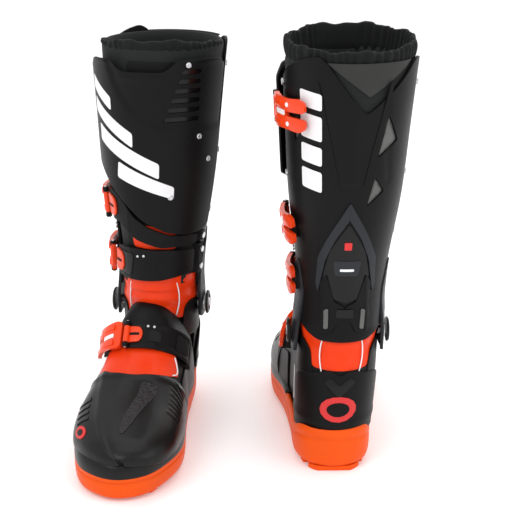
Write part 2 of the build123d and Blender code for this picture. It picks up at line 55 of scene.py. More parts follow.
# ---- the boot's forms, in millimetres in its own frame: +X outer side, +Y toe, +Z up --------------
# height, half width, half depth, middle x, middle y
LEG_SECTIONS = [
    (24, 37, 44, 0, -29), (90, 40, 52, -4.5, -15), (150, 41, 56, -8.5, 3), (206, 44, 58, -10, 2),
    (280, 54, 65, -11.5, -3), (350, 59.5, 66.7, -13, -3), (445, 67, 69, -15, -3),
]
# distance ahead of the hinge, half width, top height, middle x
FOOT_SECTIONS = [(-30, 37, 108, -1), (10, 40, 142, -4), (58, 42, 144, -2), (76, 45, 125, -1),
    (95, 48, 106, 0), (120, 51.5, 92, 1), (150, 54, 79, 1), (185, 51, 68, -1), (205, 43.5, 61.5, -4),
    (218, 35, 57, -6), (227, 25, 52, -7.5), (232, 15, 48, -8), (234.5, 6, 44.5, -8), (235, 0.5, 42, -8)]
FOOT_AXIS_HEIGHT = 40.0
RIM_HEIGHT, HEEL_RISE, TOE_DROP = 35.5, 11, 8.5  # the sole rim at the waist, and its change to heel and toe
SOLE_OUTLINE = [
    (0, -77), (27, -67), (40, -38), (42, 10), (47, 70), (57, 130), (54, 175), (37, 217), (3, 238),
    (-29, 226), (-48, 190), (-55, 150), (-48, 90), (-43, 40), (-39, -38), (-26, -67),
]


def smooth_at(rows, at):
    """Values between rows whose first number rises, along a smooth curve through them."""
    at = min(max(at, rows[0][0]), rows[-1][0])
    i = max(k for k in range(len(rows) - 1) if rows[k][0] <= at)
    low, high = rows[i], rows[i + 1]
    span = high[0] - low[0]
    t = (at - low[0]) / span

    def slope(k, column):
        before, after = rows[max(k - 1, 0)], rows[min(k + 1, len(rows) - 1)]
        return (after[column] - before[column]) / (after[0] - before[0])

    values = []
    for c in range(1, len(low)):
        m0, m1 = slope(i, c) * span, slope(i + 1, c) * span
        values.append(
            (2 * t**3 - 3 * t**2 + 1) * low[c] + (t**3 - 2 * t**2 + t) * m0
            + (-2 * t**3 + 3 * t**2) * high[c] + (t**3 - t**2) * m1
        )
    return values


def leg(angle, height, growth=0.0):
    """A point over the leg: 0 degrees is the outer side, 90 the front, 180 the inner side."""
    a, b, mid_x, mid_y = smooth_at(LEG_SECTIONS, height)
    turn = math.radians(angle)
    return Vector((mid_x + (a + growth) * math.cos(turn), mid_y + (b + growth) * math.sin(turn), height))


def foot_rows():
    """The foot's sections by distance along its outline, so that the toe closes smoothly."""
    rows, along = [], 0.0
    for i, row in enumerate(FOOT_SECTIONS):
        if i:
            last = FOOT_SECTIONS[i - 1]
            along += math.hypot(row[0] - last[0], row[1] - last[1])
        rows.append((along, *row))
    return rows


FOOT_ROWS = foot_rows()
TOE_END = FOOT_ROWS[-1][0]


def foot_along(ahead):
    """The distance along the foot's outline at a distance ahead of the hinge."""
    for low, high in zip(FOOT_ROWS, FOOT_ROWS[1:]):
        if low[1] <= ahead <= high[1]:
            return low[0] + (high[0] - low[0]) * (ahead - low[1]) / (high[1] - low[1])
    return TOE_END


def foot(angle, along, growth=0.0):
    """A point over the foot: 0 degrees is the outer side, 90 the top, 180 the inner side."""
    ahead, half, top, mid_x = smooth_at(FOOT_ROWS, along)
    turn = math.radians(angle)
    tip = growth * max(0.0, (along - TOE_END + 30) / 30)
    across = (half + growth) * math.copysign(abs(math.cos(turn)) ** 0.86, math.cos(turn))
    up = (top - FOOT_AXIS_HEIGHT + growth) * math.copysign(abs(math.sin(turn)) ** 0.94, math.sin(turn))
    return Vector((mid_x + across, ahead + tip, FOOT_AXIS_HEIGHT + up))


INSTEP_SLOPE = math.radians(46.2)
INSTEP_FRONT, INSTEP_HALF_WIDTH, INSTEP_HALF_HEIGHT = (85.2, 115.3), 40.0, 44.0
TOE_WAY = Vector((0, math.cos(INSTEP_SLOPE), -math.sin(INSTEP_SLOPE)))
INSTEP_OUT = Vector((0, math.sin(INSTEP_SLOPE), math.cos(INSTEP_SLOPE)))


def instep(angle, along, growth=0.0):
    """A point over the instep band; along is measured from the band's middle to the toe."""
    turn = math.radians(angle)
    middle = Vector((-1, *INSTEP_FRONT)) - INSTEP_OUT * INSTEP_HALF_HEIGHT
    across = (INSTEP_HALF_WIDTH + growth) * math.cos(turn)
    outward = INSTEP_OUT * ((INSTEP_HALF_HEIGHT + growth) * math.sin(turn))
    return middle + Vector((across, 0, 0)) + outward + TOE_WAY * along


# ---- mesh building ----------------------------------------------------------------------------
def boot_matrix(side):
    """The place of a boot's own frame, worked out from its ankle hinge; the left one is mirrored."""
    hinge = JOINTS[f"{side}_ankle_flex"]
    axis = Vector(hinge["axis"]).normalized()
    outer = -axis if side == "right" else axis
    up = Vector((0, 0, 1))
    ahead = up.cross(outer) if side == "right" else outer.cross(up)
    origin = Vector(hinge["pos_m"]) - outer * ANKLE_X * MM - up * HINGE_HEIGHT * MM
    spot = Matrix((outer, ahead, up)).transposed().to_4x4() @ Matrix.Scale(MM, 4)
    spot.translation = origin
    return spot


PLACE = {side: boot_matrix(side) for side in SIDES}


def bevelled(obj, width, segments=2, limit=35.0):
    """Rounds the sharp edges of an object, and shades it smooth."""
    bevel = obj.modifiers.new("bevel", "BEVEL")
    bevel.width = width * MM
    bevel.segments = segments
    bevel.limit_method = "ANGLE"
    bevel.angle_limit = math.radians(limit)
    bevel.use_clamp_overlap = True
    normals = obj.modifiers.new("normals", "WEIGHTED_NORMAL")
    normals.keep_sharp = False
    normals.weight = 80


def both(name, verts, faces, material, body, replaces=(), thick=0.0, bevel=0.0, only=SIDES, smooth=True):
    """Makes a piece on each boot from one mesh in the boot's own frame, in millimetres."""
    made = []
    for side in only:
        mesh = bpy.data.meshes.new(f"{side}_{name}_piece")
        turned = faces if side == "right" else [tuple(reversed(face)) for face in faces]
        mesh.from_pydata([PLACE[side] @ Vector(v) for v in verts], [], turned)
        mesh.update()
        mesh.polygons.foreach_set("use_smooth", [smooth] * len(mesh.polygons))
        mesh.materials.append(material)
        obj = bpy.data.objects.new(f"{side}_{name}_piece", mesh)
        bpy.context.scene.collection.objects.link(obj)
        if thick:
            wall = obj.modifiers.new("wall", "SOLIDIFY")
            wall.thickness = thick * MM
            wall.offset = -1.0
        if bevel:
            bevelled(obj, bevel)
        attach(obj, f"{side}_{body}")
        for node in replaces:
            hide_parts(f"{side}_{node}")
        made.append(obj)
    return made


def rounded(points, radius=3.0, steps=4):
    """An outline with its corners rounded."""
    count, out = len(points), []
    for i in range(count):
        before, corner, after = (Vector(points[(i + k) % count]) for k in (-1, 0, 1))
        to_before, to_after = before - corner, after - corner
        cut = min(radius, to_before.length * 0.45, to_after.length * 0.45)
        start = corner + to_before.normalized() * cut
        end = corner + to_after.normalized() * cut
        for k in range(steps + 1):
            t = k / steps
            out.append(tuple(start * (1 - t) ** 2 + corner * 2 * t * (1 - t) + end * t**2))
    return out


def oval(u, v, half_u, half_v):
    """The outline of an oval badge."""
    turns = [math.radians(t) for t in range(0, 360, 24)]
    return [(u + half_u * math.cos(t), v + half_v * math.sin(t)) for t in turns]


def dense(points, step):
    """An outline with extra points along its long edges."""
    out = []
    for a, b in zip(points, points[1:] + points[:1]):
        a, b = Vector(a), Vector(b)
        count = max(1, int((b - a).length / step))
        out += [tuple(a.lerp(b, k / count)) for k in range(count)]
    return out


def inside(point, outline):
    """Whether a point lies inside an outline."""
    x, y = point
    crossed = False
    for (x0, y0), (x1, y1) in zip(outline, outline[1:] + outline[:1]):
        if (y0 > y) != (y1 > y) and x < (x1 - x0) * (y - y0) / (y1 - y0) + x0:
            crossed = not crossed
    return crossed


def filled(outline, holes=(), step=4.0):
    """A flat net of triangles over an outline with holes, as points and faces."""
    rings = [dense(list(ring), step) for ring in (outline, *holes)]
    points, edges = [], []
    for ring in rings:
        first = len(points)
        points += ring
        edges += [(first + i, first + (i + 1) % len(ring)) for i in range(len(ring))]
    xs, ys = [p[0] for p in outline], [p[1] for p in outline]
    near = (step * 0.55) ** 2
    row, y = 0, min(ys) + step / 2
    border = list(points)
    while y < max(ys):
        x = min(xs) + (step / 2 if row % 2 else step)
        while x < max(xs):
            if inside((x, y), outline) and not any(inside((x, y), hole) for hole in holes):
                if all((x - px) ** 2 + (y - py) ** 2 > near for px, py in border):
                    points.append((x, y))
            x += step
        y += step * 0.87
        row += 1
    flat, _, faces, *_ = geometry.delaunay_2d_cdt([Vector(p) for p in points], edges, [], 1, 1e-5)
    kept = []
    for face in faces:
        middle = sum((flat[i] for i in face), Vector((0, 0))) / len(face)
        if inside(middle, rings[0]) and not any(inside(middle, ring) for ring in rings[1:]):
            kept.append(tuple(face))
    return [tuple(p) for p in flat], kept


def panel(name, outline, form, growth, material, body, holes=(), relief=None, corner=3.0, thick=2.4,
          bevel=0.7, step=4.0, replaces=(), only=SIDES):
    """A curved plate over one of the boot's forms, from its outline in (angle, distance) on it."""
    ring = rounded(outline, corner) if corner else outline
    cuts = [rounded(hole, min(corner, 2.0)) if corner else hole for hole in holes]
    flat, faces = filled(ring, cuts, step)
    verts = [form(u, v, growth + (relief(u, v) if relief else 0.0)) for u, v in flat]
    a, b, c = (verts[i] for i in faces[0][:3])
    middle = form(*flat[faces[0][0]], growth)
    outward = form(*flat[faces[0][0]], growth + 5) - middle
    if (b - a).cross(c - a).dot(outward) < 0:
        faces = [tuple(reversed(face)) for face in faces]
    return both(name, verts, faces, material, body, replaces, thick, bevel, only)


def tube(name, path, radius, material, body, closed=False, sides=8, only=SIDES, replaces=()):
    """A round bead along a path of points."""
    verts, faces, count = [], [], len(path)
    for i, point in enumerate(path):
        before = path[(i - 1) % count] if closed or i else path[0]
        after = path[(i + 1) % count] if closed or i < count - 1 else path[-1]
        along = (after - before).normalized()
        side_way = along.cross(Vector((0.13, 0.21, 0.97))).normalized()
        other = along.cross(side_way)
        for k in range(sides):
            turn = 2 * math.pi * k / sides
            verts.append(point + (side_way * math.cos(turn) + other * math.sin(turn)) * radius)
    for i in range(count if closed else count - 1):
        for k in range(sides):
            a, b = i * sides, ((i + 1) % count) * sides
            faces.append((a + k, a + (k + 1) % sides, b + (k + 1) % sides, b + k))
    if not closed:
        faces.append(tuple(reversed(range(sides))))
        faces.append(tuple(range((count - 1) * sides, count * sides)))
    return both(name, verts, faces, material, body, replaces, only=only)


def grid_surface(rows, closed=False):
    """Verts and faces of a net from rows of points; closed joins each row's end to its start."""
    width = len(rows[0])
    verts = [point for row in rows for point in row]
    faces = []
    for i in range(len(rows) - 1):
        for k in range(width if closed else width - 1):
            a, b = i * width + k, i * width + (k + 1) % width
            faces.append((a, b, b + width, a + width))
    return verts, faces


def spin(name, start, direction, profile, material, body, sides=28, only=SIDES, replaces=()):
    """A turned piece: (distance, radius) points about an axis, such as a bolt with its socket."""
    direction = direction.normalized()
    across = direction.orthogonal().normalized()
    other = direction.cross(across)
    rows = []
    for along, radius in profile:
        ring = []
        for k in range(sides):
            turn = 2 * math.pi * k / sides
            outward = across * math.cos(turn) + other * math.sin(turn)
            ring.append(start + direction * along + outward * radius)
        rows.append(ring)
    verts, faces = grid_surface(rows, closed=True)
    faces.append(tuple(reversed(range(sides))))
    faces.append(tuple(range(len(verts) - sides, len(verts))))
    return both(name, verts, faces, material, body, replaces, bevel=0.25, only=only)


def material(name, slot, colour, roughness, bump=0.15, grain=900.0, coat=0.0, metallic=0.0,
             variation=0.12, sheen=0.0, pattern=None, shine=0.5):
    """A moulded, cast or woven surface: base colour with fine variation, roughness and bump."""
    made = bpy.data.materials.new(name)
    made.use_nodes = True
    nodes, links = made.node_tree.nodes, made.node_tree.links
    shader = nodes["Principled BSDF"]
    shader.inputs["Roughness"].default_value = roughness
    shader.inputs["Metallic"].default_value = metallic
    shader.inputs["Coat Weight"].default_value = coat
    shader.inputs["Coat Roughness"].default_value = 0.08
    shader.inputs["Sheen Weight"].default_value = sheen
    shader.inputs["Specular IOR Level"].default_value = shine
    place = nodes.new("ShaderNodeTexCoord")
    patches = nodes.new("ShaderNodeTexNoise")
    patches.inputs["Scale"].default_value = 22.0
    patches.inputs["Detail"].default_value = 4.0
    links.new(place.outputs["Object"], patches.inputs["Vector"])
    ramp = nodes.new("ShaderNodeValToRGB")
    for element, share, spot in zip(ramp.color_ramp.elements, (1 - variation, 1 + variation), (0.3, 0.7)):
        element.position = spot
        element.color = (*(min(1.0, c * share) for c in colour), 1.0)
    links.new(patches.outputs["Fac"], ramp.inputs["Fac"])
    links.new(ramp.outputs["Color"], shader.inputs["Base Color"])
    rough = nodes.new("ShaderNodeMapRange")
    rough.inputs["To Min"].default_value = max(0.04, roughness - 0.07)
    rough.inputs["To Max"].default_value = min(1.0, roughness + 0.09)
    links.new(patches.outputs["Fac"], rough.inputs["Value"])
    links.new(rough.outputs["Result"], shader.inputs["Roughness"])
    height = pattern(nodes, links, place) if pattern else None
    if height is None:
        fine = nodes.new("ShaderNodeTexNoise")
        fine.inputs["Scale"].default_value = grain
        fine.inputs["Detail"].default_value = 3.0
        links.new(place.outputs["Object"], fine.inputs["Vector"])
        height = fine.outputs["Fac"]
    relief = nodes.new("ShaderNodeBump")
    relief.inputs["Strength"].default_value = bump
    relief.inputs["Distance"].default_value = 0.0006
    links.new(height, relief.inputs["Height"])
    links.new(relief.outputs["Normal"], shader.inputs["Normal"])
    return made


def weave(nodes, links, place):
    """Crossed threads."""
    waves = []
    for direction in ("X", "Z"):
        wave = nodes.new("ShaderNodeTexWave")
        wave.bands_direction = direction
        wave.inputs["Scale"].default_value = 260.0
        wave.inputs["Distortion"].default_value = 1.2
        links.new(place.outputs["Object"], wave.inputs["Vector"])
        waves.append(wave)
    product = nodes.new("ShaderNodeMath")
    product.operation = "MULTIPLY"
    links.new(waves[0].outputs["Fac"], product.inputs[0])
    links.new(waves[1].outputs["Fac"], product.inputs[1])
    return product.outputs[0]


def scales(nodes, links, place):
    """Small overlapping cells, as moulded into the toe."""
    cells = nodes.new("ShaderNodeTexVoronoi")
    cells.inputs["Scale"].default_value = 240.0
    cells.feature = "DISTANCE_TO_EDGE"
    links.new(place.outputs["Object"], cells.inputs["Vector"])
    edge = nodes.new("ShaderNodeMapRange")
    edge.inputs["From Max"].default_value = 0.25
    links.new(cells.outputs["Distance"], edge.inputs["Value"])
    return edge.outputs["Result"]


def ribs(nodes, links, place):
    """Fine level ribs."""
    wave = nodes.new("ShaderNodeTexWave")
    wave.bands_direction = "Z"
    wave.inputs["Scale"].default_value = 75.0
    links.new(place.outputs["Object"], wave.inputs["Vector"])
    return wave.outputs["Fac"]


BLACK = material("black_satin", "black_shell", (0.0050, 0.0050, 0.0052), 0.40, bump=0.25, grain=1400,
    shine=0.12)
TOE = material("black_toe", "black_shell", (0.0065, 0.0062, 0.0060), 0.33, bump=0.2, grain=800, coat=0.04,
    shine=0.2)
GLOSS = material("black_gloss", "black_shell", (0.0040, 0.0040, 0.0042), 0.2, bump=0.08, grain=500,
    coat=0.08, shine=0.2)
MATTE = material("black_matte", "black_strap", (0.0070, 0.0070, 0.0072), 0.6, bump=0.35, grain=1600,
    shine=0.12)
SLATE = material("slate", "black_shell", (0.016, 0.018, 0.022), 0.42, bump=0.2, grain=1100, shine=0.25)
LEATHER = material("grey_leather", "liner_fabric", (0.030, 0.030, 0.029), 0.5, bump=0.35, grain=1300,
    shine=0.2)
WINDOW = material("grey_window", "black_shell", (0.12, 0.12, 0.115), 0.5, bump=0.3, pattern=weave,
    shine=0.2)
ORANGE = material("orange_gloss", "orange_plastic", (0.82, 0.052, 0.006), 0.28, bump=0.05, grain=400,
    coat=0.15, variation=0.05, shine=0.25)
ORANGE_SOFT = material("orange_panel", "gusset_fabric", (0.80, 0.042, 0.004), 0.36, bump=0.14, grain=700,
    coat=0.08, variation=0.07, shine=0.15)
SOLE = material("orange_sole", "sole_rubber", (0.80, 0.088, 0.006), 0.45, bump=0.15, grain=900,
    variation=0.05, shine=0.12)
INSERT = material("insert_rubber", "insert_rubber", (0.02, 0.02, 0.02), 0.7, bump=0.4)
STEEL = material("screw_steel", "screw_steel", (0.62, 0.62, 0.64), 0.28, metallic=1.0, bump=0.08,
    grain=1500)
CLOTH = material("liner_cloth", "liner_fabric", (0.014, 0.015, 0.015), 0.8, bump=0.5, pattern=weave,
    sheen=0.03, shine=0.2)
GAITER = material("gaiter_cloth", "gaiter_fabric", (0.007, 0.0075, 0.008), 0.85, bump=0.7, pattern=weave,
    sheen=0.04, shine=0.2)
GRIP = material("grip_rubber", "grip_rubber", (0.014, 0.014, 0.015), 0.6, bump=1.0, pattern=ribs,
    shine=0.25)
SCALE = material("scale_plastic", "black_shell", (0.012, 0.012, 0.013), 0.42, bump=1.0, pattern=scales,
    shine=0.35)
WHITE = material("white_print", "black_shell", (0.80, 0.80, 0.82), 0.4, bump=0.08, variation=0.03)
RED = material("red_badge", "black_shell", (0.62, 0.012, 0.012), 0.35, bump=0.1, variation=0.05)
FOAM = material("footbed_foam", "footbed_foam", (0.05, 0.05, 0.055), 0.9, bump=0.6, pattern=weave)


def finish_node(names, chosen):
    """Gives CAD nodes that keep their own shape their material."""
    for side in SIDES:
        for name in names:
            node = frame["nodes"][f"{side}_{name}"]
            node.data.materials.clear()
            node.data.materials.append(chosen)


# ---- foot ---------------------------------------------------------------------------------------
def sole_ring(count=180):
    """The sole's outline as evenly numbered points of a closed smooth curve."""
    ring, knots = [], len(SOLE_OUTLINE)
    for i in range(count):
        at = i / count * knots
        k, t = int(at), at - int(at)
        p0, p1, p2, p3 = (Vector(SOLE_OUTLINE[(k + j) % knots]) for j in (-1, 0, 1, 2))
        square, cube = 2 * p0 - 5 * p1 + 4 * p2 - p3, 3 * p1 - p0 - 3 * p2 + p3
        ring.append(0.5 * (2 * p1 + (p2 - p0) * t + square * t**2 + cube * t**3))
    return ring


def rim_height(y):
    """How high the sole cups the boot."""
    heel = max(0.0, min(1.0, (-25 - y) / 38))
    toe = max(0.0, min(1.0, (y - 40) / 130))
    return RIM_HEIGHT + HEEL_RISE * heel * heel * (3 - 2 * heel) - TOE_DROP * toe * toe * (3 - 2 * toe)


def make_sole():
    """The cupped rubber sole with a grooved side wall, and its tread bars."""
    ring = sole_ring()
    count = len(ring)
    profile = [  # inset, share of the rim's height
        (8.0, 0.12), (4.6, 0.12), (2.8, 0.15), (1.6, 0.21), (0.8, 0.30), (0.4, 0.42),
        (0.2, 0.60), (0.3, 0.72), (1.1, 0.745), (1.1, 0.775), (0.1, 0.80), (0.2, 0.92),
        (1.2, 0.98), (2.4, 1.0), (5.0, 0.97), (6.5, 0.80),
    ]
    rows = []
    for inset, share in profile:
        row = []
        for i, point in enumerate(ring):
            along = (ring[(i + 1) % count] - ring[i - 1]).normalized()
            moved = point + Vector((-along.y, along.x)) * inset
            row.append(Vector((moved.x, moved.y, rim_height(point.y) * share)))
        rows.append(row)
    verts, faces = grid_surface(rows, closed=True)
    faces.append(tuple(reversed(range(count))))
    faces.append(tuple(range(len(verts) - count, len(verts))))
    both("sole", verts, faces, SOLE, "foot", ["outsole"], bevel=0.0)
    rand = []
    for inset, lift in ((5.0, -9.0), (1.6, -5.0), (1.0, 0.0), (1.3, 5.0), (2.6, 9.5), (5.5, 12.5),
        (9.0, 13.0)):
        row = []
        for i, point in enumerate(ring):
            if point.y < 48:
                continue
            along = (ring[(i + 1) % count] - ring[i - 1]).normalized()
            moved = point + Vector((-along.y, along.x)) * inset
            rise = lift * min(1.0, (point.y - 48) / 60)
            row.append(Vector((moved.x, moved.y, rim_height(point.y) + rise)))
        rand.append(row)
    verts, faces = grid_surface(rand)
    both("toe_rand", verts, faces, TOE, "foot", thick=-1.0)
    for number, low in enumerate((-72, -54, -36, 130, 148, 166, 184, 202)):
        high = low + 12
        strip = [p for p in ring if low <= p.y <= high]
        right_hand = sorted((p for p in strip if p.x > 0), key=lambda p: p.y)
        left_hand = sorted((p for p in strip if p.x <= 0), key=lambda p: -p.y)
        outline = [Vector((p.x * 0.84, p.y, 0)) for p in right_hand + left_hand]
        top = [p + Vector((0, 0, 5.2)) for p in outline]
        size = len(outline)
        bar_faces = [tuple(reversed(range(size))), tuple(range(size, 2 * size))]
        bar_faces += [(i, (i + 1) % size, size + (i + 1) % size, size + i) for i in range(size)]
        both(f"tread_{number}", outline + top, bar_faces, SOLE, "foot", bevel=0.8)


def make_foot():
    """The black body of the foot, the heel cup and the moulded toe cap."""
    end, start = TOE_END - 0.01, foot_along(-28)
    reach = [(-3, start), (183, start), (184, foot_along(70)), (188, foot_along(110)),
        (196, foot_along(160)), (200, foot_along(200)), (200, end), (-20, end), (-20, foot_along(200)),
        (-16, foot_along(160)), (-8, foot_along(110)), (-4, foot_along(70))]
    panel("foot_body", reach, foot, -0.4, BLACK, "foot",
          corner=0, step=5, thick=2.0, bevel=0, replaces=["foot_shell"])
    panel("heel_body", [(-195, 34), (15, 34), (15, 112), (-10, 116), (-50, 106), (-130, 106), (-170, 116),
        (-195, 112)], leg, -0.2, BLACK, "foot", step=5, thick=2.0)
    counter = [(-186, 38), (6, 38), (10, 60), (2, 84), (-20, 96), (-60, 104), (-78, 107), (-90, 101),
        (-102, 107), (-120, 104), (-160, 96), (-182, 84), (-190, 60)]
    panel("heel_counter", counter, leg, 2.6, BLACK, "foot", corner=8, thick=2.4, bevel=1.0,
        replaces=["heel_counter"], relief=lambda u, v: 0.9 * math.exp(-((v - 52) / 3.0) ** 2))
    panel("heel_gloss", [(-112, 96), (-90, 80), (-68, 96), (-78, 100), (-90, 92), (-102, 100)], leg, 3.4,
        GLOSS, "foot", corner=3, thick=0.8, bevel=0.4, step=3)
    badge = oval(-90, 68, 26, 13.5)
    panel("heel_badge", badge, leg, 3.5, RED, "foot", corner=0, thick=0.8, bevel=0.3, step=3)
    ring = oval(-90, 68, 16, 7.5)
    panel("heel_badge_middle", ring, leg, 4.0, BLACK, "foot", corner=0, thick=0.8, bevel=0.3, step=3)
    s = foot_along
    cap = [(-6, s(98)), (20, s(102)), (48, s(112)), (70, s(124)), (90, s(130)), (112, s(124)),
        (136, s(112)), (160, s(102)), (186, s(98)), (188, end), (-8, end)]

    def cap_relief(u, v):
        ridge = 1.3 * math.exp(-((u - 58 - 6 * math.sin((v - s(120)) / 38)) / 4.5) ** 2) * (v > s(112))
        brow = 1.2 * math.exp(-((v - s(128) + 0.012 * (u - 90) ** 2 * 0.35) / 3.0) ** 2)
        rib = 0.7 * (math.sin((v - s(120)) * 0.9) > 0.2) * (134 < u < 160) * (s(116) < v < s(164))
        return ridge + brow + rib

    panel("toe_cap", cap, foot, 2.2, TOE, "foot", corner=8, thick=2.2, bevel=1.0, step=2.6,
        relief=cap_relief, replaces=["toe_cap"])
    band = [(99, s(136)), (117, s(138)), (116, s(150)), (106, s(172)), (97, s(196)), (89, s(212)),
        (86, s(208)), (91, s(180)), (97, s(156))]
    panel("toe_scales", band, foot, 3.0, SCALE, "foot", corner=5, thick=1.2, bevel=0.4, step=3)
    for number, (low, high) in enumerate(((146, 152), (156, 162), (166, 172), (176, 182))):
        rib = [(26, s(low)), (50, s(low + 3)), (50, s(high + 3)), (26, s(high))]
        panel(f"toe_rib_{number}", rib, foot, 3.1, GLOSS, "foot", corner=2, thick=1.2, bevel=0.5, step=3)
    disc = oval(30, s(196), 12, 9)
    panel("toe_badge", disc, foot, 3.0, RED, "foot", corner=0, thick=0.8, bevel=0.3, step=3)
    middle = oval(30, s(196), 6.5, 4.6)
    panel("toe_badge_middle", middle, foot, 3.4, GLOSS, "foot", corner=0, thick=0.6, bevel=0.3, step=3)
    guard = [(-2, s(60)), (20, s(66)), (26, s(96)), (18, s(140)), (6, s(178)), (-10, s(182)), (-6, s(120))]
    panel("outer_guard", guard, foot, 1.4, BLACK, "foot", corner=6, thick=1.8, bevel=0.8, step=4)
    inner = [(182, s(60)), (160, s(66)), (154, s(96)), (162, s(140)), (174, s(178)), (190, s(182)),
        (186, s(120))]
    panel("inner_guard_foot", inner, foot, 1.4, BLACK, "foot", corner=6, thick=1.8, bevel=0.8, step=4)
    vamp = [(40, s(84)), (140, s(84)), (146, s(100)), (118, s(124)), (90, s(131)), (62, s(124)),
        (34, s(100))]
    panel("vamp_panel", vamp, foot, 1.2, ORANGE_SOFT, "foot", corner=6, thick=1.6, bevel=0.7, step=3)
    arc = [foot(134 + 7 * math.sin(math.pi * k / 12), s(88) + 22 * k / 12, 2.2) for k in range(13)]
    tube("vamp_piping", arc, 0.8, WHITE, "foot")
    tube("vamp_edge", [foot(44 - 0.3 * k, s(88) + 24 * k / 12, 2.2) for k in range(13)], 0.6, WHITE, "foot")


def make_ankle_sides():
    """The plates beside the ankle's bellows, low on the foot, and the discs over the hinge."""
    for side_name, middle, sign in (("outer", 0, 1), ("inner", 180, -1)):
        cover = [(-47, 92), (-45, 108), (-41, 121), (-30, 127), (-10, 131), (14, 137), (28, 139),
            (40, 132), (44, 112), (44, 92)]
        panel(f"ankle_cover_{side_name}", [(middle + sign * off, height) for off, height in cover], leg,
            0.9, BLACK, "foot", corner=6, thick=2.0, bevel=0.8, step=3.4)
        hub = leg(middle, HINGE_HEIGHT, 11.0)
        spin(f"ankle_disc_{side_name}", Vector((hub.x, 0, HINGE_HEIGHT)), Vector((sign, 0, 0)),
            [(-1.0, 13), (0.6, 13), (1.8, 11.6), (1.8, 9.0), (0.8, 8.2), (0.8, 5.4)], TOE, "cuff", sides=40)
        spin(f"ankle_hub_{side_name}", Vector((hub.x, 0, HINGE_HEIGHT)), Vector((sign, 0, 0)),
             [(0.2, 5.0), (1.6, 5.0), (2.3, 4.2), (2.3, 2.3), (0.9, 2.1)], STEEL, "cuff", sides=24)


def make_gusset():
    """The soft pleated bellows at the ankle and their piping, fixed in place apart from both bodies."""
    rows = []
    count = 96
    for k in range(34):
        share = k / 33
        row = []
        for i in range(count):
            angle = 360 * i / count
            back = 0.5 - 0.5 * math.sin(math.radians(angle))
            low, high = 124 - 24 * back, 172 - 6 * back
            height = low + (high - low) * share
            fold = 0.9 * math.sin(share * math.pi * 5) * math.sin(share * math.pi)
            row.append(leg(angle, height, -0.9 + fold))
        rows.append(row)
    verts, faces = grid_surface(rows, closed=True)
    made = both("ankle_bellows", verts, faces, ORANGE_SOFT, "foot", ["ankle_gusset"], thick=3.0)
    pipings = []
    for name, middle, bend in (("front_outer", 53, -3), ("front_inner", 125, 5), ("rear_outer", -62, 4),
        ("rear_inner", -118, -4)):
        low, high = (126, 166) if name.startswith("front") else (104, 138)
        path = [leg(middle + bend * math.sin(math.pi * k / 12), low + (high - low) * k / 12, 0.5)
            for k in range(13)]
        pipings += tube(f"{name}_piping", path, 0.7, WHITE, "foot")
    for obj in made + pipings:
        obj.parent = None
        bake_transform(obj)


def make_instep():
    """The instep strap with its lever, and what holds them."""
    half = 14.5
    outline = [(66, -half), (172, -half), (172, half), (66, half)]

    def strap_relief(u, v):
        edge = 0.8 * (abs(v) > 10.5)
        return edge + 0.7 * math.exp(-((u - 108) / 3.0) ** 2)

    panel("instep_strap", outline, instep, 6.2, BLACK, "instep_strap", corner=4, thick=2.2, bevel=0.8,
        step=2.5, relief=strap_relief, replaces=["instep_strap"])
    panel("instep_label", [(100, -6), (116, -6), (116, 6), (100, 6)], instep, 7.2, GLOSS, "instep_strap",
        corner=2, thick=1.0, bevel=0.4, step=3)
    panel("instep_end", [(140, -10), (166, -8), (166, 8), (140, 10)], instep, 7.2, MATTE, "instep_strap",
        corner=4, thick=1.0, bevel=0.5, step=3)
    for number, u in enumerate((98, 106)):
        spin(f"instep_dot_{number}", instep(u, -10, 7.0), instep(u, -10, 10) - instep(u, -10, 5),
            [(-0.5, 1.5), (1.0, 1.5), (1.4, 1.0)], STEEL, "instep_strap")
    lever("instep", "instep_lever", instep, 8, 66, -half - 1, half + 1, 12.4)


